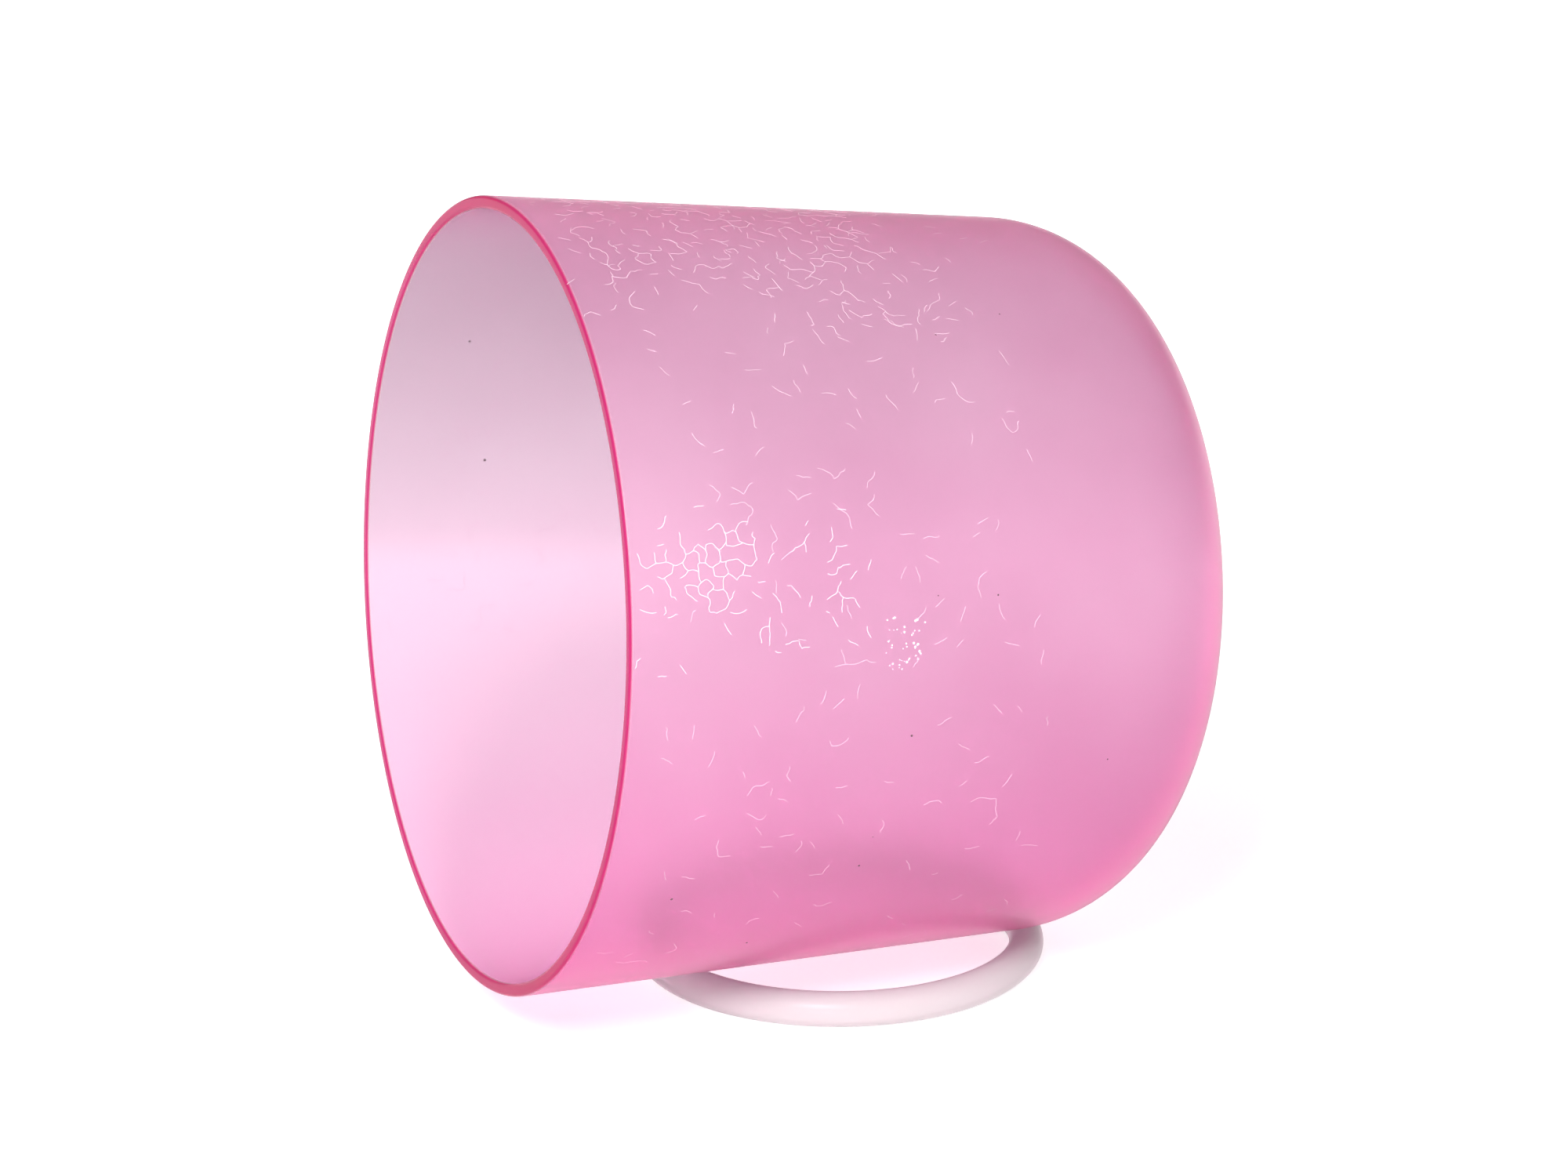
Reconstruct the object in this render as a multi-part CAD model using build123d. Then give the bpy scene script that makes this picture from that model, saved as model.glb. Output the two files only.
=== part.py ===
from build123d import *
import math
import os

# A crystal singing bowl at rest on its side on a soft ring, in millimetres and degrees.
# The table is Z = 0, +Z is up, and the bowl's mouth looks along -X and a little upwards.
# The origin is on the table, under the middle of the whole object.

# ---- Driving dimensions: the bowl, one spun shell of fused quartz ----
mouth_diameter = 200.0    # outside, at the widest part of the lip
bowl_depth = 179.0        # outside, along the bowl's own axis, from lip to the middle of the bottom
wall = 3.4                # thickness of the shell, the same everywhere
lip_edge_radius = 1.0     # of both edges of the lip, which is ground flat and then melted smooth
wall_taper = 2.9          # lean of each side, wider at the mouth
shoulder_radius = 36.5    # outside, where the side turns into the bottom
bottom_radius = 300.0     # outside, of the shallow dome that closes the bowl

# ---- Driving dimensions: the ring, a silicone cord moulded into a hoop ----
ring_bore = 90.0          # inside diameter of the hoop
ring_section = 9.1        # diameter of the cord
ring_flat = 3.0           # width of the flat that the soft cord rests on

# ---- How the two meet ----
seat_gap = 0.3            # between the quartz and the silicone, at both places where they meet
shoulder_offset = 36.0    # along the table, from the ring's centre to the centre of the shoulder's arc


def on_circle(centre, radius, angle):
    """The point at an angle on a circle, in the plane of a profile."""
    turn = math.radians(angle)
    return (centre[0] + radius * math.cos(turn), centre[1] + radius * math.sin(turn))


def arc(centre, radius, start, end):
    """The arc of a circle from one angle to another."""
    return CenterArc(centre, radius, start, end - start)


def turned_about_z(profile):
    """The solid that a closed half profile makes when it is turned right round the Z axis."""
    face = make_face(profile)
    return revolve(Plane.XZ * face, Axis.Z)


# ---- The bowl's half profile: X is the radius, Y the height above the middle of the bottom ----
lean = math.radians(wall_taper)
outward = (math.cos(lean), -math.sin(lean))
downward = (-math.sin(lean), -math.cos(lean))

# The lip's two rounded edges touch its flat top and the two faces of the wall.
edge_height = bowl_depth - lip_edge_radius
outer_edge = (mouth_diameter / 2 - lip_edge_radius, edge_height)
side_line = outward[0] * outer_edge[0] + outward[1] * outer_edge[1] + lip_edge_radius
inner_edge_line = side_line - wall + lip_edge_radius
inner_edge = ((inner_edge_line - outward[1] * edge_height) / outward[0], edge_height)

# The shoulder's arc touches the side and the dome. Its centre is shoulder_radius inside the side's
# line, and shoulder_radius nearer to the dome's centre than the dome is.
dome_centre = (0, bottom_radius)
shoulder_line = side_line - shoulder_radius
foot_point = (outward[0] * shoulder_line, outward[1] * shoulder_line)
foot_to_dome = (foot_point[0] - dome_centre[0], foot_point[1] - dome_centre[1])
along = foot_to_dome[0] * downward[0] + foot_to_dome[1] * downward[1]
across = foot_to_dome[0] * outward[0] + foot_to_dome[1] * outward[1]
travel = math.sqrt((bottom_radius - shoulder_radius) ** 2 - across ** 2) - along
shoulder_centre = (foot_point[0] + travel * downward[0], foot_point[1] + travel * downward[1])

side_angle = -wall_taper
bottom_angle = math.degrees(math.atan2(shoulder_centre[1] - dome_centre[1], shoulder_centre[0]))


def bowl_shell():
    """The bowl standing upright on the middle of its bottom, mouth up."""
    inner_shoulder = shoulder_radius - wall
    inner_dome = bottom_radius - wall
    profile = [
        arc(inner_edge, lip_edge_radius, side_angle + 180, 90),
        Line(on_circle(inner_edge, lip_edge_radius, 90), on_circle(outer_edge, lip_edge_radius, 90)),
        arc(outer_edge, lip_edge_radius, 90, side_angle),
        Line(on_circle(outer_edge, lip_edge_radius, side_angle),
             on_circle(shoulder_centre, shoulder_radius, side_angle)),
        arc(shoulder_centre, shoulder_radius, side_angle, bottom_angle),
        arc(dome_centre, bottom_radius, bottom_angle, -90),
        Line((0, 0), (0, wall)),
        arc(dome_centre, inner_dome, -90, bottom_angle),
        arc(shoulder_centre, inner_shoulder, bottom_angle, side_angle),
        Line(on_circle(shoulder_centre, inner_shoulder, side_angle),
             on_circle(inner_edge, lip_edge_radius, side_angle + 180)),
    ]
    return turned_about_z(profile)


# ---- The ring's half profile, standing on its flat ----
cord_radius = ring_section / 2
hoop_radius = ring_bore / 2 + cord_radius
cord_height = math.sqrt(cord_radius ** 2 - (ring_flat / 2) ** 2)


def support_ring():
    """The hoop, centred on the Z axis and standing on the table."""
    cord_centre = (hoop_radius, cord_height)
    flat_angle = math.degrees(math.asin(cord_height / cord_radius))
    profile = [
        arc(cord_centre, cord_radius, -flat_angle, 180 + flat_angle),
        Line((hoop_radius - ring_flat / 2, 0), (hoop_radius + ring_flat / 2, 0)),
    ]
    return turned_about_z(profile)


# ---- Where the bowl lies: its straight side meets the ring under the mouth, its shoulder meets it
# at the closed end, and both meetings are in the upright plane through the bowl's axis ----
cord_reach = cord_radius + seat_gap
seat_reach = shoulder_radius + cord_reach
shoulder_height = cord_height + math.sqrt(seat_reach ** 2 - (hoop_radius - shoulder_offset) ** 2)
span = hoop_radius + shoulder_offset
rise = shoulder_height - cord_height
side_turn = math.acos(seat_reach / math.hypot(span, rise)) + math.atan2(rise, span)
bowl_tilt = wall_taper + 90 - math.degrees(side_turn)


def laid_on_the_ring(upright_bowl):
    """The bowl turned on its side and moved until its shoulder's arc is over its place on the ring."""
    turn = Rotation(0, bowl_tilt - 90, 0)
    lower_shoulder = turn * Location((-shoulder_centre[0], 0, shoulder_centre[1]))
    wanted = Vector(shoulder_offset, 0, shoulder_height)
    return Location(wanted - lower_shoulder.position) * turn * upright_bowl


ring = support_ring()
bowl = laid_on_the_ring(bowl_shell())

# ---- The origin goes under the middle of the whole ----
whole_box = Compound([ring, bowl]).bounding_box()
to_origin = Location((-whole_box.center().X, -whole_box.center().Y, 0))

nodes = {
    "quartz_bowl": to_origin * bowl,
    "silicone_ring": to_origin * ring,
}

os.makedirs("parts", exist_ok=True)
for name, shape in nodes.items():
    export_step(shape, os.path.join("parts", name + ".step"))
    box = shape.bounding_box()
    print(f"{name}: {shape.volume / 1000:.1f} cm3, {box.size.X:.1f} x {box.size.Y:.1f} x {box.size.Z:.1f} mm")

print(f"bowl leans {bowl_tilt:.2f} degrees, lip up; ring centre at X {to_origin.position.X:.2f} mm")
print(f"whole object {whole_box.size.X:.1f} x {whole_box.size.Y:.1f} x {whole_box.size.Z:.1f} mm")
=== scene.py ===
# %% [markdown]
# # A crystal singing bowl, lying on its ring
# The real object has two pieces. The bowl is one shell of fused quartz, spun hot against a mould,
# tinted pink and frosted, with a lip that is ground flat and melted smooth. The ring is a loop of
# soft clear silicone that keeps the bowl from rolling. The engineering model is loaded first, and
# everything below is made around it, in metres, in the same place.

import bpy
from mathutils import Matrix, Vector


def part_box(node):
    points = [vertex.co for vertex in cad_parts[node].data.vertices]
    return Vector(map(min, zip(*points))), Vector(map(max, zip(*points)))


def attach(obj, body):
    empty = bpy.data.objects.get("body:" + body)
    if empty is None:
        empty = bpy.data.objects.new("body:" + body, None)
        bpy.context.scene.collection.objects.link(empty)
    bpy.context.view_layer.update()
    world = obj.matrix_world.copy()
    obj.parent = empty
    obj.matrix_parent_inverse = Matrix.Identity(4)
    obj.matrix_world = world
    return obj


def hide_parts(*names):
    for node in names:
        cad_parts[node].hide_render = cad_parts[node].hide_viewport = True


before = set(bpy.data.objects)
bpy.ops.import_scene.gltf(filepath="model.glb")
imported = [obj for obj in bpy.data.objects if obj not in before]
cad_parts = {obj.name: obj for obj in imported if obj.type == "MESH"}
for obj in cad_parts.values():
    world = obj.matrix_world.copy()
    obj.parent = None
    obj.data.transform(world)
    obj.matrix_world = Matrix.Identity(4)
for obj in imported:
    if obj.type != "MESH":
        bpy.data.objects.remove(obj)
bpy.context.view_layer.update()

import math

import bpy
from mathutils import Euler, Vector

MM = 0.001

# %% [markdown]
# ## The sizes that shape both pieces
# A maker of such bowls gives a mould by a few numbers: how wide the mouth is, how deep the bowl, how
# much the side leans, and the two radii of its closed end. These are the engineering model's own
# driving sizes, in millimetres and degrees, and the outline below is worked out from them.

# %% Driving sizes of the bowl and the ring
mouth_diameter = 200.0
bowl_depth = 179.0
wall = 3.4
lip_edge_radius = 1.0
wall_taper = 2.9
shoulder_radius = 36.5
bottom_radius = 300.0

ring_bore = 90.0
ring_section = 9.1
ring_flat = 3.0
seat_gap = 0.3
shoulder_offset = 36.0

# %% [markdown]
# ## Where the side, the shoulder and the bottom meet
# The outline is a straight side, an arc for the shoulder and a much larger arc for the bottom, and
# each touches the next without a corner. A point that is the shoulder's radius inside the side, and
# the same distance inside the bottom's arc, is the only place where the shoulder's centre can be.

# %% Work out the bowl's outline
lean = math.radians(wall_taper)
outward = (math.cos(lean), -math.sin(lean))
downward = (-math.sin(lean), -math.cos(lean))
edge_height = bowl_depth - lip_edge_radius
outer_edge = (mouth_diameter / 2 - lip_edge_radius, edge_height)
side_line = outward[0] * outer_edge[0] + outward[1] * outer_edge[1] + lip_edge_radius
inner_edge_line = side_line - wall + lip_edge_radius
inner_edge = ((inner_edge_line - outward[1] * edge_height) / outward[0], edge_height)

shoulder_line = side_line - shoulder_radius
foot_point = (outward[0] * shoulder_line, outward[1] * shoulder_line)
foot_to_dome = (foot_point[0], foot_point[1] - bottom_radius)
along = foot_to_dome[0] * downward[0] + foot_to_dome[1] * downward[1]
across = foot_to_dome[0] * outward[0] + foot_to_dome[1] * outward[1]
travel = math.sqrt((bottom_radius - shoulder_radius) ** 2 - across ** 2) - along
shoulder_centre = (foot_point[0] + travel * downward[0], foot_point[1] + travel * downward[1])
dome_centre = (0.0, bottom_radius)
bottom_angle = math.degrees(math.atan2(shoulder_centre[1] - bottom_radius, shoulder_centre[0]))
print(f"shoulder centre {shoulder_centre[0]:.1f} mm out and {shoulder_centre[1]:.1f} mm up")


def arc_points(centre, radius, start, end, steps):
    """Points along an arc, from one angle to another, both ends included."""
    turns = [math.radians(start + (end - start) * i / steps) for i in range(steps + 1)]
    return [(centre[0] + radius * math.cos(t), centre[1] + radius * math.sin(t)) for t in turns]


def line_points(start, end, steps):
    """Points between two points, both left out."""
    shares = [i / steps for i in range(1, steps)]
    return [(start[0] + (end[0] - start[0]) * s, start[1] + (end[1] - start[1]) * s) for s in shares]


def bowl_outline():
    """The half section, from the middle of the bottom outside, over the lip, to the middle inside."""
    side = -wall_taper
    outer_bottom = arc_points(dome_centre, bottom_radius, -90, bottom_angle, 14)
    outer_shoulder = arc_points(shoulder_centre, shoulder_radius, bottom_angle, side, 28)
    outer_lip = arc_points(outer_edge, lip_edge_radius, side, 90, 8)
    inner_lip = arc_points(inner_edge, lip_edge_radius, 90, 180 + side, 8)
    inner_shoulder = arc_points(shoulder_centre, shoulder_radius - wall, side, bottom_angle, 28)
    inner_bottom = arc_points(dome_centre, bottom_radius - wall, bottom_angle, -90, 14)
    outside = line_points(outer_shoulder[-1], outer_lip[0], 24)
    inside = line_points(inner_lip[-1], inner_shoulder[0], 24)
    return (outer_bottom + outer_shoulder[1:] + outside + outer_lip
            + inner_lip + inside + inner_shoulder + inner_bottom[1:])


outline = bowl_outline()
print("outline points", len(outline))

# %% [markdown]
# ## How the bowl lies on the ring
# The bowl touches the ring twice: with its straight side under the mouth, and with its shoulder at
# the closed end. That fixes how far it leans, by the same rule as in the engineering model.

# %% Work out the lean and the place
cord_radius = ring_section / 2
hoop_radius = ring_bore / 2 + cord_radius
cord_height = math.sqrt(cord_radius ** 2 - (ring_flat / 2) ** 2)
seat_reach = shoulder_radius + cord_radius + seat_gap
rise = math.sqrt(seat_reach ** 2 - (hoop_radius - shoulder_offset) ** 2)
span = hoop_radius + shoulder_offset
side_turn = math.acos(seat_reach / math.hypot(span, rise)) + math.atan2(rise, span)
bowl_lean = lean + math.pi / 2 - side_turn

ring_low, ring_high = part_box("silicone_ring")
ring_middle = (ring_low + ring_high) / 2
bowl_turn = Euler((0, bowl_lean - math.pi / 2, 0))
lower_shoulder = Vector((-shoulder_centre[0], 0, shoulder_centre[1])) * MM
lower_shoulder.rotate(bowl_turn)
shoulder_place = Vector((ring_middle.x + shoulder_offset * MM, 0, (cord_height + rise) * MM))
bowl_place = shoulder_place - lower_shoulder
print(f"the bowl leans {math.degrees(bowl_lean):.2f} degrees, its bottom is at",
      [round(v / MM, 1) for v in bowl_place])

# %% [markdown]
# ## Small helpers
# Colours are written as they look on a screen, so one function turns them into the linear values
# that a renderer works with. Another adds a node, sets it and links it, in a material or in a
# geometry tree.


# %% Helpers for colours and nodes
def shade(hex_colour):
    """A screen colour such as e88cb9, as linear red, green, blue and alpha."""
    values = [int(hex_colour[i:i + 2], 16) / 255 for i in (0, 2, 4)]
    linear = [v / 12.92 if v <= 0.04045 else ((v + 0.055) / 1.055) ** 2.4 for v in values]
    return (*linear, 1.0)


def add_node(tree, kind, settings=None, **inputs):
    """A node with its settings, whose named inputs take a value or another node's output."""
    node = tree.nodes.new(kind)
    for name, value in (settings or {}).items():
        setattr(node, name, value)
    for name, value in inputs.items():
        key = int(name[1:]) if name[1:].isdigit() else name.replace("_", " ")
        if isinstance(value, bpy.types.NodeSocket):
            tree.links.new(value, node.inputs[key])
        else:
            node.inputs[key].default_value = value
    return node


def link_new(obj):
    """Put a new object in the scene."""
    bpy.context.scene.collection.objects.link(obj)
    return obj


def finish_piece(name, geometry_object):
    """A plain mesh object from an object whose modifiers are done."""
    evaluated = geometry_object.evaluated_get(bpy.context.evaluated_depsgraph_get())
    mesh = bpy.data.meshes.new_from_object(evaluated)
    mesh.name = name
    bpy.data.objects.remove(geometry_object)
    piece = link_new(bpy.data.objects.new(name, mesh))
    mesh.calc_loop_triangles()
    corners = [[mesh.vertices[i].co for i in t.vertices] for t in mesh.loop_triangles]
    volume = sum(a.dot(b.cross(c)) for a, b, c in corners) / 6
    print(name, len(mesh.vertices), "points", len(mesh.polygons), "faces", f"{volume * 1e6:.4f} cubic cm")
    return piece

# %% [markdown]
# ## One tree that turns an outline into a shell
# Turning is the rule of a potter's wheel and of a spun quartz mould: the same outline at every angle.
# A Screw modifier could do it, but a small geometry tree says the rule in the open: a grid has one
# row for each point of the outline and one column for each step round, and every grid point goes to
# its outline point's radius and height, at its column's angle.


# %% The turning tree
def turning_tree():
    """A tree that turns an outline, kept as a mesh of points in the X-Z plane, about Z."""
    tree = bpy.data.node_groups.new("turned on a wheel", "GeometryNodeTree")
    face = tree.interface
    face.new_socket("Geometry", in_out="INPUT", socket_type="NodeSocketGeometry")
    face.new_socket("Steps round", in_out="INPUT", socket_type="NodeSocketInt")
    face.new_socket("Turn", in_out="INPUT", socket_type="NodeSocketVector")
    face.new_socket("Place", in_out="INPUT", socket_type="NodeSocketVector")
    face.new_socket("Polish from height", in_out="INPUT", socket_type="NodeSocketFloat")
    face.new_socket("Polish to height", in_out="INPUT", socket_type="NodeSocketFloat")
    face.new_socket("Rows outside", in_out="INPUT", socket_type="NodeSocketInt")
    face.new_socket("Finish", in_out="INPUT", socket_type="NodeSocketMaterial")
    face.new_socket("Geometry", in_out="OUTPUT", socket_type="NodeSocketGeometry")
    given = tree.nodes.new("NodeGroupInput").outputs

    rows = add_node(tree, "GeometryNodeAttributeDomainSize", {"component": "MESH"},
                    Geometry=given["Geometry"])
    columns = add_node(tree, "ShaderNodeMath", {"operation": "ADD"}, _0=given["Steps round"], _1=1.0)
    grid = add_node(tree, "GeometryNodeMeshGrid", Vertices_X=rows.outputs["Point Count"],
                    Vertices_Y=columns.outputs[0], Size_X=1.0, Size_Y=1.0)
    number = add_node(tree, "GeometryNodeInputIndex").outputs[0]
    share = add_node(tree, "ShaderNodeMath", {"operation": "DIVIDE"}, _0=number, _1=columns.outputs[0])
    row = add_node(tree, "ShaderNodeMath", {"operation": "FLOOR"}, _0=share.outputs[0])
    column = add_node(tree, "ShaderNodeMath", {"operation": "MODULO"}, _0=number, _1=columns.outputs[0])
    around = add_node(tree, "ShaderNodeMath", {"operation": "DIVIDE"},
                      _0=column.outputs[0], _1=given["Steps round"])
    angle = add_node(tree, "ShaderNodeMath", {"operation": "MULTIPLY"}, _0=around.outputs[0], _1=-math.tau)
    place = add_node(tree, "GeometryNodeInputPosition").outputs[0]
    point = add_node(tree, "GeometryNodeSampleIndex", {"data_type": "FLOAT_VECTOR", "domain": "POINT"},
                     Geometry=given["Geometry"], Value=place, Index=row.outputs[0])
    turned = add_node(tree, "ShaderNodeVectorRotate", {"rotation_type": "Z_AXIS"},
                      Vector=point.outputs["Value"], Angle=angle.outputs[0])
    polish = add_node(tree, "ShaderNodeMapRange", {"interpolation_type": "SMOOTHSTEP"})
    height = add_node(tree, "ShaderNodeSeparateXYZ", Vector=point.outputs["Value"])
    tree.links.new(height.outputs["Z"], polish.inputs["Value"])
    tree.links.new(given["Polish from height"], polish.inputs["From Min"])
    tree.links.new(given["Polish to height"], polish.inputs["From Max"])
    shaped = add_node(tree, "GeometryNodeSetPosition", Geometry=grid.outputs["Mesh"],
                      Position=turned.outputs[0])
    noted = add_node(tree, "GeometryNodeStoreNamedAttribute", {"data_type": "FLOAT", "domain": "POINT"},
                     Geometry=shaped.outputs[0], Name="polish", Value=polish.outputs[0])
    within = add_node(tree, "ShaderNodeMath", {"operation": "GREATER_THAN"},
                      _0=row.outputs[0], _1=given["Rows outside"])
    sided = add_node(tree, "GeometryNodeStoreNamedAttribute", {"data_type": "FLOAT", "domain": "POINT"},
                     Geometry=noted.outputs[0], Name="inside", Value=within.outputs[0])
    closed = add_node(tree, "GeometryNodeMergeByDistance", Geometry=sided.outputs[0], Distance=0.001 * MM)
    laid = add_node(tree, "GeometryNodeTransform", Geometry=closed.outputs[0],
                    Translation=given["Place"], Rotation=given["Turn"])
    smooth = add_node(tree, "GeometryNodeSetShadeSmooth", Geometry=laid.outputs[0])
    real = add_node(tree, "GeometryNodeRealizeInstances", Geometry=smooth.outputs[0])
    done = add_node(tree, "GeometryNodeSetMaterial", Geometry=real.outputs[0], Material=given["Finish"])
    add_node(tree, "NodeGroupOutput", Geometry=done.outputs[0])
    return tree


def turned_piece(name, points, settings):
    """A piece turned from an outline given in millimetres, as radius and height."""
    mesh = bpy.data.meshes.new(name + " outline")
    mesh.from_pydata([(r * MM, 0, h * MM) for r, h in points],
                     [(i, i + 1) for i in range(len(points) - 1)], [])
    obj = link_new(bpy.data.objects.new(name + " outline", mesh))
    modifier = obj.modifiers.new("turned", "NODES")
    modifier.node_group = turning
    for item in turning.interface.items_tree:
        if item.in_out == "INPUT" and item.name in settings:
            modifier[item.identifier] = settings[item.name]
    return finish_piece(name, obj)


turning = turning_tree()
print("turning tree has", len(turning.nodes), "nodes")

# %% [markdown]
# ## Pink frosted quartz
# The real shell is clear fused quartz with a pink tint baked on and a fine frost all over, so light
# goes through it and is scattered on the way. Three things give that look here. The glass absorbs
# mostly green and some blue, so the eye sees a deeper pink wherever it looks along the wall: at the
# outline. A rough surface blurs what lies behind. A share of plain scattering makes the frost milky,
# greyer on the inside than on the tinted outside, where the tint is uneven. The side that lies lowest
# is painted a deeper, brighter pink: painted light, for the light of the glowing table that comes up
# through the lower wall. The lip is the cut edge of the wall: light comes to it a long way through
# the tint, so it has its own deep crimson, little frost and less see-through.
# The bending of light is set lower than real quartz has it (1.15 for 1.46): a renderer follows only
# a few bounces inside a wall, and with the real value the outline would go grey instead of pink.


# %% The glass
def frosted_quartz():
    """Pink frosted glass that deepens with depth; crimson and smooth where polished."""
    mat = bpy.data.materials.new("pink frosted fused quartz")
    mat.use_nodes = True
    tree = mat.node_tree
    tree.nodes.clear()
    polish = add_node(tree, "ShaderNodeAttribute", {"attribute_name": "polish"}).outputs["Fac"]
    inside = add_node(tree, "ShaderNodeAttribute", {"attribute_name": "inside"}).outputs["Fac"]
    where = add_node(tree, "ShaderNodeTexCoord").outputs["Object"]
    clouds = add_node(tree, "ShaderNodeTexNoise", Vector=where, Scale=14.0, Detail=3.0).outputs[0]
    uneven = add_node(tree, "ShaderNodeMapRange", Value=clouds, From_Min=0.4, From_Max=0.65)
    outer = add_node(tree, "ShaderNodeMix", {"data_type": "RGBA"},
                     _0=uneven.outputs[0], _6=shade(OUTSIDE_TINT), _7=shade(OUTSIDE_CLOUD))
    height = add_node(tree, "ShaderNodeSeparateXYZ", Vector=where).outputs["Z"]
    # painted light: below 0.12 m the outer skin turns a deeper, brighter pink, for light from the table below
    painted_low_light = add_node(tree, "ShaderNodeMapRange", Value=height, From_Min=0.12, From_Max=0.03)
    with_painted_low_light = add_node(tree, "ShaderNodeMix", {"data_type": "RGBA"},
                      _0=painted_low_light.outputs[0], _6=outer.outputs["Result"], _7=shade(PAINTED_LOW_LIGHT_TINT))
    skin = add_node(tree, "ShaderNodeMix", {"data_type": "RGBA"},
                    _0=inside, _6=with_painted_low_light.outputs["Result"], _7=shade(INSIDE_TINT))
    tint = add_node(tree, "ShaderNodeMix", {"data_type": "RGBA"},
                    _0=polish, _6=skin.outputs["Result"], _7=shade(LIP_TINT))
    rough = add_node(tree, "ShaderNodeMapRange", Value=polish, To_Min=FROST, To_Max=0.15)
    milky = add_node(tree, "ShaderNodeMapRange", Value=inside, To_Min=CLEAR_OUTSIDE, To_Max=CLEAR_INSIDE)
    clear = add_node(tree, "ShaderNodeMath", {"operation": "MULTIPLY_ADD"},
                     _0=polish, _1=-0.5, _2=milky.outputs[0])
    body = add_node(tree, "ShaderNodeBsdfPrincipled", Base_Color=tint.outputs["Result"],
                    Roughness=rough.outputs[0], Transmission_Weight=clear.outputs[0], IOR=1.15)
    depth = add_node(tree, "ShaderNodeVolumeAbsorption", Color=shade(DEPTH_TINT), Density=DEPTH)
    add_node(tree, "ShaderNodeOutputMaterial", Surface=body.outputs[0], Volume=depth.outputs[0])
    return mat


# the first two colours are the uneven tint; the third is painted light, the deeper pink of the low side
OUTSIDE_TINT, OUTSIDE_CLOUD, PAINTED_LOW_LIGHT_TINT, INSIDE_TINT = "ffd4e8", "f6c4dc", "ffaed8", "daf0e8"
DEPTH_TINT, LIP_TINT = "ff6cd8", "ae225c"
CLEAR_OUTSIDE, CLEAR_INSIDE, FROST, DEPTH = 0.87, 0.92, 0.3, 75.0
quartz = frosted_quartz()

# %% [markdown]
# ## The bowl itself
# It is one shell, closed over the lip, so that the light has a real wall to go through. The flat of
# the lip was melted smooth: the points near the top of its rounded edges get the polished finish,
# and the points past the middle of the outline count as the inside.

# %% Turn the bowl
bowl = turned_piece("pink_quartz_bowl", outline, {
    "Steps round": 256, "Turn": tuple(bowl_turn), "Place": tuple(bowl_place),
    "Polish from height": (edge_height + 0.1) * MM, "Polish to height": (edge_height + 0.7) * MM,
    "Rows outside": len(outline) // 2, "Finish": quartz})
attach(bowl, "bowl")
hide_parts("quartz_bowl")

# %% [markdown]
# ## The ring
# A cord of silicone rubber, moulded as one hoop. Under the bowl's weight the soft cord rests on a
# narrow flat. Silicone is clear but a little milky, with a soft shine.


# %% Turn the ring
def clear_silicone():
    """Milky clear rubber, moulded smooth, with a soft shine."""
    mat = bpy.data.materials.new("milky clear silicone rubber")
    mat.use_nodes = True
    body = mat.node_tree.nodes["Principled BSDF"]
    body.inputs["Base Color"].default_value = shade("dad2d4")
    body.inputs["Roughness"].default_value = 0.3
    body.inputs["IOR"].default_value = 1.2
    body.inputs["Transmission Weight"].default_value = 0.4
    return mat


RING_STEPS = 48
flat_angle = math.degrees(math.asin(cord_height / cord_radius))
ring_outline = arc_points((hoop_radius, cord_height), cord_radius, -flat_angle, 180 + flat_angle, RING_STEPS)
ring_outline += [ring_outline[0]]
ring = turned_piece("silicone_cord_ring", ring_outline, {
    "Steps round": 256, "Turn": (0, 0, 0), "Place": (ring_middle.x, 0, 0),
    "Polish from height": 1.0, "Polish to height": 2.0, "Rows outside": len(ring_outline),
    "Finish": clear_silicone()})
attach(ring, "ring")
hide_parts("silicone_ring")

# %% [markdown]
# ## A rule for laying things on the wall
# The crackle and the specks are made flat first, as on a sheet of paper: one way is the height on
# the bowl, the other is the distance round it. This small group bends the sheet onto the cone of
# the outer wall. What stands up from the sheet stands out from the wall, but only by a share of
# its height, so that lines become low ridges.


# %% The laying group
def wall_group():
    """A group that bends a flat sheet onto the cone of the bowl's wall."""
    tree = bpy.data.node_groups.new("laid on the wall", "GeometryNodeTree")
    face = tree.interface
    face.new_socket("Geometry", in_out="INPUT", socket_type="NodeSocketGeometry")
    face.new_socket("Height", in_out="INPUT", socket_type="NodeSocketFloat")
    face.new_socket("Angle", in_out="INPUT", socket_type="NodeSocketFloat")
    face.new_socket("Geometry", in_out="OUTPUT", socket_type="NodeSocketGeometry")
    given = tree.nodes.new("NodeGroupInput").outputs
    place = add_node(tree, "GeometryNodeInputPosition").outputs[0]
    flat = add_node(tree, "ShaderNodeSeparateXYZ", Vector=place)
    height = add_node(tree, "ShaderNodeMath", _0=flat.outputs["X"], _1=given["Height"])
    radius = add_node(tree, "ShaderNodeMath", {"operation": "MULTIPLY_ADD"},
                      _0=height.outputs[0], _1=math.tan(lean), _2=wall_foot * MM)
    away = add_node(tree, "ShaderNodeMath", {"operation": "DIVIDE"},
                    _0=flat.outputs["Y"], _1=radius.outputs[0])
    angle = add_node(tree, "ShaderNodeMath", _0=away.outputs[0], _1=given["Angle"])
    proud = add_node(tree, "ShaderNodeMath", {"operation": "MULTIPLY_ADD"},
                     _0=flat.outputs["Z"], _1=SHARE_PROUD, _2=radius.outputs[0])
    rim = add_node(tree, "ShaderNodeCombineXYZ", X=proud.outputs[0], Z=height.outputs[0])
    bent = add_node(tree, "ShaderNodeVectorRotate", {"rotation_type": "Z_AXIS"},
                    Vector=rim.outputs[0], Angle=angle.outputs[0])
    laid = add_node(tree, "GeometryNodeSetPosition", Geometry=given["Geometry"], Position=bent.outputs[0])
    outwards = add_node(tree, "GeometryNodeFlipFaces", Mesh=laid.outputs[0])
    moved = add_node(tree, "GeometryNodeTransform", Geometry=outwards.outputs[0],
                     Translation=tuple(bowl_place), Rotation=tuple(bowl_turn))
    add_node(tree, "NodeGroupOutput", Geometry=moved.outputs[0])
    return tree


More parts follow.
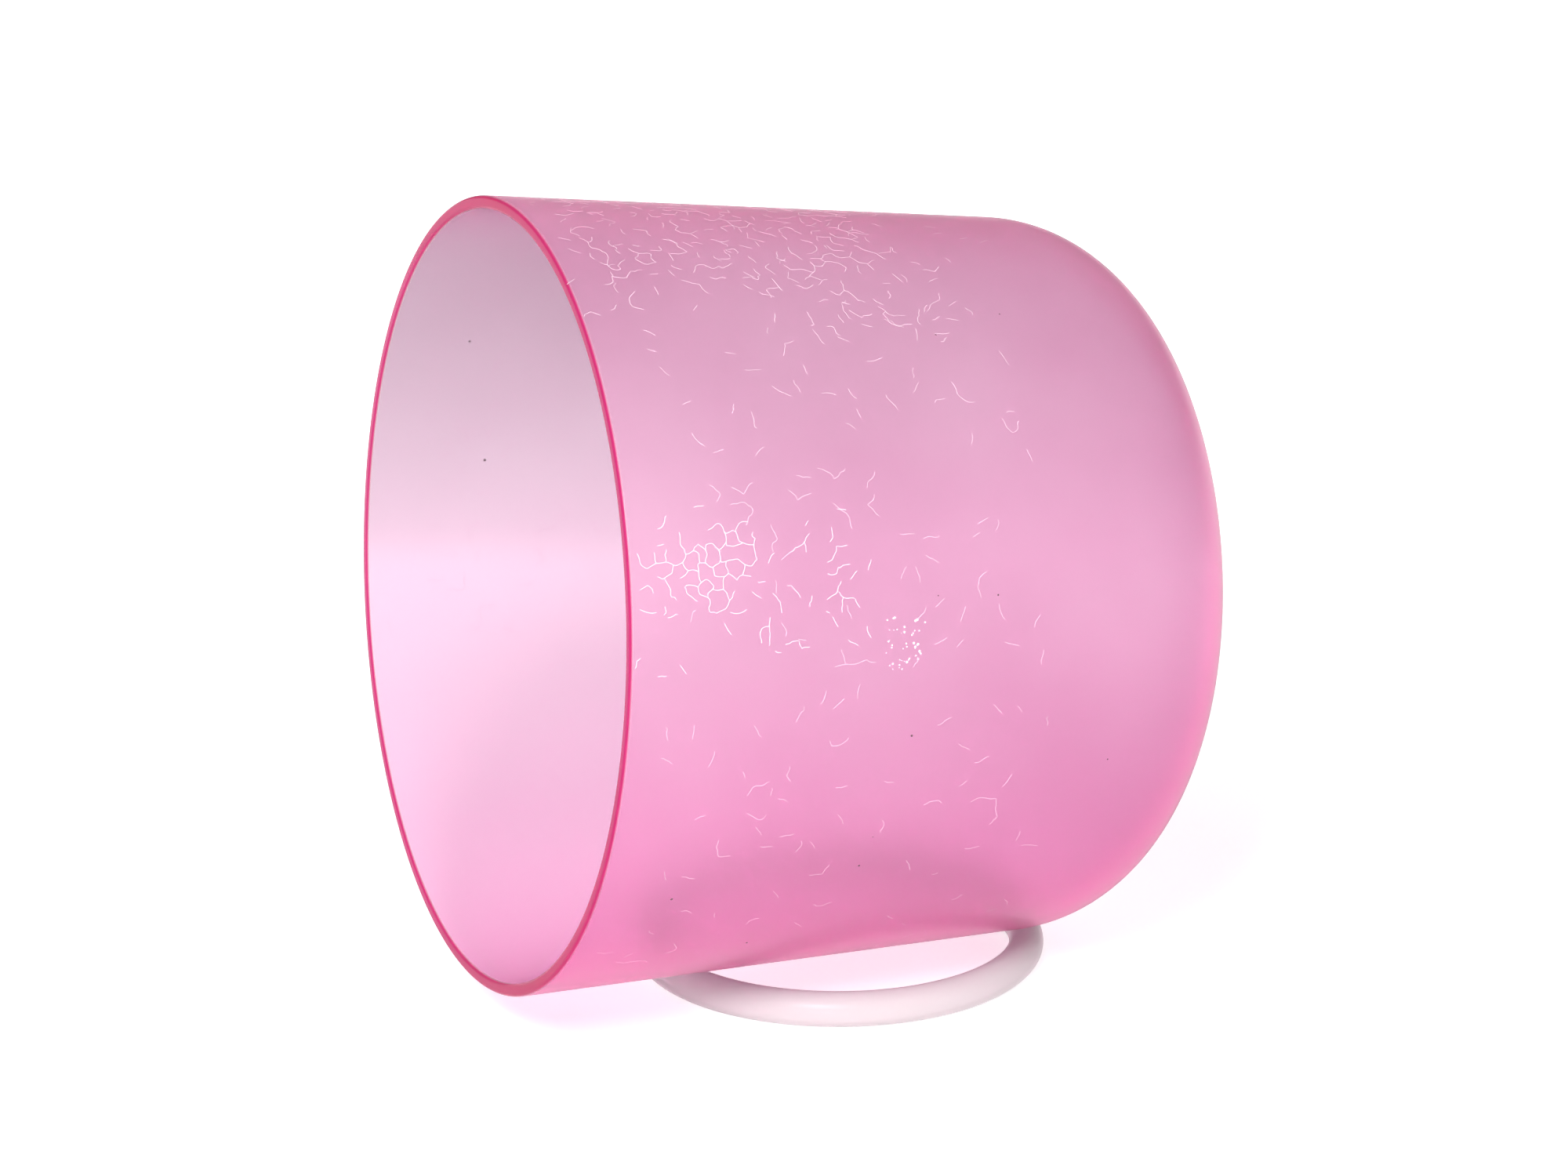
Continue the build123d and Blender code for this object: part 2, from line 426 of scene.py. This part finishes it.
SHARE_PROUD = 0.35
wall_foot = outer_edge[0] + lip_edge_radius / math.cos(lean) - edge_height * math.tan(lean)
laying = wall_group()
print(f"the wall's cone is {wall_foot:.1f} mm in radius at the bottom")

# %% [markdown]
# ## Crackle
# The tinted skin of such a bowl is full of hair-fine cracks where it has shrunk on the quartz: thin
# pale lines, that meet and part like the lines in old glaze. The rule is the one that nature uses: a
# sheet that shrinks breaks into cells. A grid is shaken by chance and turned into the cells between
# its points, their borders are thinned out by chance and in drifts, made crooked, and given a body
# that thins towards its ends. The lines are 0.1 to 0.2 mm wide and the cells 3 to 6 mm.


# %% The crackle tree
def crackle_tree():
    """A tree that makes one patch of hair-fine cracks."""
    tree = bpy.data.node_groups.new("crackle", "GeometryNodeTree")
    face = tree.interface
    face.new_socket("Geometry", in_out="INPUT", socket_type="NodeSocketGeometry")
    for name in ("Length", "Width", "Cell", "Share kept", "Line radius", "Height", "Angle"):
        face.new_socket(name, in_out="INPUT", socket_type="NodeSocketFloat")
    face.new_socket("Seed", in_out="INPUT", socket_type="NodeSocketInt")
    face.new_socket("Finish", in_out="INPUT", socket_type="NodeSocketMaterial")
    face.new_socket("Geometry", in_out="OUTPUT", socket_type="NodeSocketGeometry")
    given = tree.nodes.new("NodeGroupInput").outputs

    def calc(operation, a, b, c=0.0):
        return add_node(tree, "ShaderNodeMath", {"operation": operation}, _0=a, _1=b, _2=c).outputs[0]

    def random_vector(painted_low_light, high, seed):
        return add_node(tree, "FunctionNodeRandomValue", {"data_type": "FLOAT_VECTOR"},
                        _0=painted_low_light, _1=high, Seed=seed)

    grid = add_node(tree, "GeometryNodeMeshGrid", Size_X=given["Length"], Size_Y=given["Width"],
                    Vertices_X=calc("DIVIDE", given["Length"], given["Cell"]),
                    Vertices_Y=calc("DIVIDE", given["Width"], given["Cell"]))
    shake = random_vector((-0.45, -0.45, 0), (0.45, 0.45, 0), given["Seed"])
    shift = add_node(tree, "ShaderNodeVectorMath", {"operation": "SCALE"},
                     _0=shake.outputs["Value"], Scale=given["Cell"])
    shaken = add_node(tree, "GeometryNodeSetPosition", Geometry=grid.outputs["Mesh"], Offset=shift.outputs[0])
    split = add_node(tree, "GeometryNodeTriangulate", Mesh=shaken.outputs[0])
    cells = add_node(tree, "GeometryNodeDualMesh", Mesh=split.outputs[0])

    place = add_node(tree, "GeometryNodeInputPosition").outputs[0]
    drift = add_node(tree, "ShaderNodeTexNoise", {"noise_dimensions": "4D"},
                     Vector=place, W=given["Seed"], Scale=45.0, Detail=2.0).outputs[0]
    drifts = add_node(tree, "ShaderNodeMapRange", Value=drift, From_Min=0.38, From_Max=0.6).outputs[0]
    part = add_node(tree, "ShaderNodeSeparateXYZ", Vector=place)
    along = calc("ABSOLUTE", calc("DIVIDE", part.outputs["X"], given["Length"]), 0.0)
    round_it = calc("ABSOLUTE", calc("DIVIDE", part.outputs["Y"], given["Width"]), 0.0)
    border = add_node(tree, "ShaderNodeMapRange", Value=calc("MAXIMUM", along, round_it),
                      From_Min=0.5, From_Max=0.3).outputs[0]
    chance = calc("MULTIPLY", calc("MULTIPLY", drifts, border), given["Share kept"])
    keep = add_node(tree, "FunctionNodeRandomValue", {"data_type": "BOOLEAN"},
                    Probability=chance, Seed=given["Seed"]).outputs[3]
    lines = add_node(tree, "GeometryNodeMeshToCurve", Mesh=cells.outputs[0], Selection=keep)
    fine = add_node(tree, "GeometryNodeResampleCurve", {"mode": "LENGTH"},
                    Curve=lines.outputs[0], Length=0.7 * MM)
    crooked = add_node(tree, "ShaderNodeTexNoise", Vector=place, Scale=300.0, Detail=3.0).outputs["Color"]
    middle = add_node(tree, "ShaderNodeVectorMath", {"operation": "SUBTRACT"}, _0=crooked, _1=(0.5, 0.5, 0.5))
    bend = add_node(tree, "ShaderNodeVectorMath", {"operation": "MULTIPLY"},
                    _0=middle.outputs[0], _1=(4 * MM, 4 * MM, 0))
    bent = add_node(tree, "GeometryNodeSetPosition", Geometry=fine.outputs[0], Offset=bend.outputs[0])
    run = add_node(tree, "GeometryNodeSplineParameter").outputs["Factor"]
    taper = calc("POWER", calc("MULTIPLY", calc("MULTIPLY", run, 4.0), calc("SUBTRACT", 1.0, run)), 0.5)
    swell = add_node(tree, "ShaderNodeTexNoise", Vector=place, Scale=160.0).outputs[0]
    size = calc("MULTIPLY", calc("MULTIPLY_ADD", taper, 0.75, 0.25), calc("MULTIPLY", swell, 2.0))
    sized = add_node(tree, "GeometryNodeSetCurveRadius", Curve=bent.outputs[0], Radius=size)
    section = add_node(tree, "GeometryNodeCurvePrimitiveCircle", Resolution=4, Radius=given["Line radius"])
    ridge = add_node(tree, "GeometryNodeCurveToMesh", Curve=sized.outputs[0],
                     Profile_Curve=section.outputs[0], Fill_Caps=True)
    laid = add_node(tree, "GeometryNodeGroup", {"node_tree": laying}, Geometry=ridge.outputs[0],
                    Height=given["Height"], Angle=given["Angle"])
    smooth = add_node(tree, "GeometryNodeSetShadeSmooth", Geometry=laid.outputs[0])
    real = add_node(tree, "GeometryNodeRealizeInstances", Geometry=smooth.outputs[0])
    done = add_node(tree, "GeometryNodeSetMaterial", Geometry=real.outputs[0], Material=given["Finish"])
    add_node(tree, "NodeGroupOutput", Geometry=done.outputs[0])
    return tree


def made_by(name, tree, settings):
    """A piece made by a tree alone, from named settings."""
    obj = link_new(bpy.data.objects.new(name + " maker", bpy.data.meshes.new(name + " maker")))
    modifier = obj.modifiers.new("made", "NODES")
    modifier.node_group = tree
    for item in tree.interface.items_tree:
        if item.in_out == "INPUT" and item.name in settings:
            modifier[item.identifier] = settings[item.name]
    piece = finish_piece(name, obj)
    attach(piece, "bowl")
    return piece


crackling = crackle_tree()
print("crackle tree has", len(crackling.nodes), "nodes")

# %% [markdown]
# ## Where the crackle is
# It is thin all the way round, and drawn denser and bolder in a strip by the lip at the front and in
# a field along the top. The cracks there are real, but their extra pale lines are partly a painted
# highlight: they stand for the light glinting on the crackle. The cracks are pale because air in them
# throws the light back, so their finish is plain and pale pink, with no see-through. Each patch is set
# by its heights on the bowl in millimetres, its angles round the bowl, the cell size, the share of
# lines that is kept, the radius of a line and a seed.


# %% Lay the crackle
def plain_finish(name, colour, roughness):
    """A matt or soft finish of one colour."""
    mat = bpy.data.materials.new(name)
    mat.use_nodes = True
    body = mat.node_tree.nodes["Principled BSDF"]
    body.inputs["Base Color"].default_value = shade(colour)
    body.inputs["Roughness"].default_value = roughness
    return mat


pale_crack_and_painted_glint = plain_finish("pale crack in the tinted skin, also painted glints", "fae0ec", 0.5)


def crackle_patch(name, heights, angles, cell, share, radius, seed):
    """One patch of crackle between two heights (mm) and two angles (degrees, front at -90)."""
    middle = sum(heights) / 2
    wall_radius = wall_foot + middle * math.tan(lean)
    made_by(name, crackling, {
        "Length": (heights[1] - heights[0]) * MM, "Height": middle * MM,
        "Width": math.radians(angles[1] - angles[0]) * wall_radius * MM,
        "Angle": math.radians(sum(angles) / 2), "Cell": cell * MM, "Share kept": share,
        "Line radius": radius * MM, "Seed": seed, "Finish": pale_crack_and_painted_glint})


# partly painted highlight: the two strong patches stand for crackle where the light glints; the patch all
# round is the real spread
crackle_patch("crackle_and_painted_glint_by_the_lip", (112, 182), (-86, -62), 3.5, 0.9, 0.08, 3)
crackle_patch("crackle_and_painted_glint_along_the_top", (76, 180), (-38, 16), 4.0, 0.6, 0.055, 8)
crackle_patch("crackle_all_round", (52, 176), (-180, 180), 5.0, 0.16, 0.045, 21)

# %% [markdown]
# ## Glints and specks
# Besides the lines there are grains: a small spot of pale grains at the front, which are a painted
# highlight standing for bright glints of light there, and a few dark specks of ash or ore that were
# in the sand. Both are tiny lentils in the skin, 0.2 to 0.8 mm wide, scattered on the flat sheet first
# and then laid on the wall like the crackle.


# %% The speck tree
def speck_tree():
    """A tree that scatters small grains over one patch of the wall."""
    tree = bpy.data.node_groups.new("specks", "GeometryNodeTree")
    face = tree.interface
    face.new_socket("Geometry", in_out="INPUT", socket_type="NodeSocketGeometry")
    for name in ("Length", "Width", "How many per square metre", "Smallest", "Largest", "Height", "Angle"):
        face.new_socket(name, in_out="INPUT", socket_type="NodeSocketFloat")
    face.new_socket("Seed", in_out="INPUT", socket_type="NodeSocketInt")
    face.new_socket("Finish", in_out="INPUT", socket_type="NodeSocketMaterial")
    face.new_socket("Geometry", in_out="OUTPUT", socket_type="NodeSocketGeometry")
    given = tree.nodes.new("NodeGroupInput").outputs
    sheet = add_node(tree, "GeometryNodeMeshGrid", Size_X=given["Length"], Size_Y=given["Width"],
                     Vertices_X=2, Vertices_Y=2)
    spots = add_node(tree, "GeometryNodeDistributePointsOnFaces", Mesh=sheet.outputs["Mesh"],
                     Density=given["How many per square metre"], Seed=given["Seed"])
    grain = add_node(tree, "GeometryNodeMeshIcoSphere", Subdivisions=2, Radius=0.5)
    size = add_node(tree, "FunctionNodeRandomValue", {"data_type": "FLOAT"},
                    _2=given["Smallest"], _3=given["Largest"], Seed=given["Seed"])
    grains = add_node(tree, "GeometryNodeInstanceOnPoints", Points=spots.outputs["Points"],
                      Instance=grain.outputs["Mesh"], Scale=size.outputs[1])
    real = add_node(tree, "GeometryNodeRealizeInstances", Geometry=grains.outputs[0])
    laid = add_node(tree, "GeometryNodeGroup", {"node_tree": laying}, Geometry=real.outputs[0],
                    Height=given["Height"], Angle=given["Angle"])
    smooth = add_node(tree, "GeometryNodeSetShadeSmooth", Geometry=laid.outputs[0])
    whole = add_node(tree, "GeometryNodeRealizeInstances", Geometry=smooth.outputs[0])
    done = add_node(tree, "GeometryNodeSetMaterial", Geometry=whole.outputs[0], Material=given["Finish"])
    add_node(tree, "NodeGroupOutput", Geometry=done.outputs[0])
    return tree


specking = speck_tree()
print("speck tree has", len(specking.nodes), "nodes")


def speck_patch(name, heights, angles, count, sizes, seed, finish):
    """About so many grains between two heights (mm) and two angles (degrees)."""
    middle = sum(heights) / 2
    length = (heights[1] - heights[0]) * MM
    width = math.radians(angles[1] - angles[0]) * (wall_foot + middle * math.tan(lean)) * MM
    made_by(name, specking, {
        "Length": length, "Width": width, "Height": middle * MM, "Angle": math.radians(sum(angles) / 2),
        "How many per square metre": count / (length * width), "Smallest": sizes[0] * MM,
        "Largest": sizes[1] * MM, "Seed": seed, "Finish": finish})


# painted highlight: pale grains that stand for bright glints of light at the side
speck_patch("painted_glints_at_the_side", (102, 113), (-87, -79), 46, (0.2, 0.7), 5, pale_crack_and_painted_glint)
speck_patch("dark_specks", (46, 176), (-180, 180), 16, (0.3, 0.8), 2,
            plain_finish("dark grain of ore", "6b4a55", 0.6))

# %% [markdown]
# ## Table, light and camera
# A plain white table that glows of its own, as for catalogue pictures: painted light, a little more
# right under the bowl and far away, so that shadows stay pale. The room is brighter overhead than at
# the sides. One small softbox stands at the front left, a third of the way up: its shadow of the bowl
# falls behind the bowl, where it can be seen again through the glass. Clear things on white look
# washed out, so a grey card stands behind that glows, lighter at its foot: painted shade, seen only
# through the glass. Only light that goes through the glass can meet it, so it isn't in the picture
# and throws no shadow. Colours are shown as they are, with no film curve, so that the white table
# stays white.


# %% Table, card and room
TABLE_GLOW, UNDER_BOWL_PAINTED_GLOW, ROOM_LOW, ROOM_HIGH, SOFTBOX_WATTS = 0.28, 0.3, 0.42, 1.12, 13
floor_mesh = bpy.data.meshes.new("lit white table")
half = 40.0  # metres to each side, so that its edge is near the horizon
floor_mesh.from_pydata([(-half, -half, 0), (half, -half, 0), (half, half, 0), (-half, half, 0)],
                       [], [(0, 1, 2, 3)])
paper = plain_finish("white table with a painted glow", "e8e8e8", 0.9)
glow = paper.node_tree.nodes["Principled BSDF"]
glow.inputs["Emission Color"].default_value = (1, 1, 1, 1)
sheet = paper.node_tree
away = add_node(sheet, "ShaderNodeVectorMath", {"operation": "LENGTH"},
                _0=add_node(sheet, "ShaderNodeTexCoord").outputs["Object"])
far = add_node(sheet, "ShaderNodeMapRange", Value=away.outputs["Value"], From_Min=0.25, From_Max=0.6,
               To_Min=TABLE_GLOW, To_Max=0.75)
# painted light: the table glows more right under the bowl and far away, so that shadows there stay pale
near = add_node(sheet, "ShaderNodeMapRange", {"interpolation_type": "SMOOTHSTEP"},
                Value=away.outputs["Value"], From_Min=0.16, From_Max=0.03, To_Max=UNDER_BOWL_PAINTED_GLOW)
total = add_node(sheet, "ShaderNodeMath", _0=far.outputs[0], _1=near.outputs[0])
sheet.links.new(total.outputs[0], glow.inputs["Emission Strength"])
floor_mesh.materials.append(paper)
floor = link_new(bpy.data.objects.new("lit white table", floor_mesh))
floor.location.z = -0.05 * MM

# painted shade: a card that glows grey, lighter at its foot, seen only through the glass, where it greys the
# upper part of what shows through
card_mesh = bpy.data.meshes.new("grey card")
card_mesh.from_pydata([(-1.2, 0, 0), (1.2, 0, 0), (1.2, 0, 0.7), (-1.2, 0, 0.7)], [], [(0, 1, 2, 3)])
grey = bpy.data.materials.new("grey card of painted shade, lighter at its foot")
grey.use_nodes = True
grey.node_tree.nodes.clear()
card_height = add_node(grey.node_tree, "ShaderNodeSeparateXYZ",
                       Vector=add_node(grey.node_tree, "ShaderNodeTexCoord").outputs["Object"])
card_shade = add_node(grey.node_tree, "ShaderNodeMapRange", {"interpolation_type": "SMOOTHSTEP"},
                      Value=card_height.outputs["Z"], From_Min=-0.03, From_Max=0.12, To_Min=1.2, To_Max=0.62)
add_node(grey.node_tree, "ShaderNodeOutputMaterial",
         Surface=add_node(grey.node_tree, "ShaderNodeEmission", Strength=card_shade.outputs[0]).outputs[0])
card_mesh.materials.append(grey)
card = link_new(bpy.data.objects.new("grey card", card_mesh))
card.location = (0.15, 0.36, 0)
card.rotation_euler = (0, 0, math.radians(-22.566))
card.visible_camera = card.visible_diffuse = card.visible_glossy = card.visible_shadow = False

world = bpy.data.worlds.new("white room")
bpy.context.scene.world = world
world.use_nodes = True
sky = world.node_tree
way = add_node(sky, "ShaderNodeSeparateXYZ", Vector=add_node(sky, "ShaderNodeTexCoord").outputs["Generated"])
rising = add_node(sky, "ShaderNodeMapRange", {"interpolation_type": "SMOOTHSTEP"}, Value=way.outputs["Z"],
                  From_Min=0.1, From_Max=0.8, To_Min=ROOM_LOW, To_Max=ROOM_HIGH)
sky.links.new(rising.outputs[0], sky.nodes["Background"].inputs["Strength"])
sky.nodes["Background"].inputs["Color"].default_value = (1, 1, 1, 1)
print("room strength from", ROOM_LOW, "at the sides to", ROOM_HIGH, "overhead")
bpy.context.scene.view_settings.view_transform = "Standard"


# %% Softbox and camera
def from_middle(azimuth, elevation):
    """The way from the middle of the bowl to something, azimuth 0 being the front."""
    a, e = math.radians(azimuth), math.radians(elevation)
    return Vector((math.sin(a) * math.cos(e), -math.cos(a) * math.cos(e), math.sin(e)))


def softbox(name, azimuth, elevation, distance, size, power):
    data = bpy.data.lights.new(name, "AREA")
    data.shape = "SQUARE"
    data.size = size
    data.energy = power
    lamp = link_new(bpy.data.objects.new(name, data))
    way = from_middle(azimuth, elevation)
    lamp.location = Vector((0, 0, 0.1)) + way * distance
    lamp.rotation_euler = way.to_track_quat("Z", "Y").to_euler()


softbox("softbox at the front left", -35, 32, 1.1, 0.28, SOFTBOX_WATTS)

view_way = from_middle(-22.566, 16.888)
view_roll = Euler((0, 0, math.radians(-0.35)))
camera_data = bpy.data.cameras.new("camera")
camera_data.lens = 106.9
camera_data.clip_end = 200.0
camera = link_new(bpy.data.objects.new("camera", camera_data))
camera.location = Vector((-0.0041, 0.0026, 0.1019)) + view_way * 1.1981
camera.rotation_mode = "QUATERNION"
camera.rotation_quaternion = view_way.to_track_quat("Z", "Y") @ view_roll.to_quaternion()
bpy.context.scene.camera = camera
print("camera at", [round(v, 3) for v in camera.location], "metres, lens", camera_data.lens, "mm")
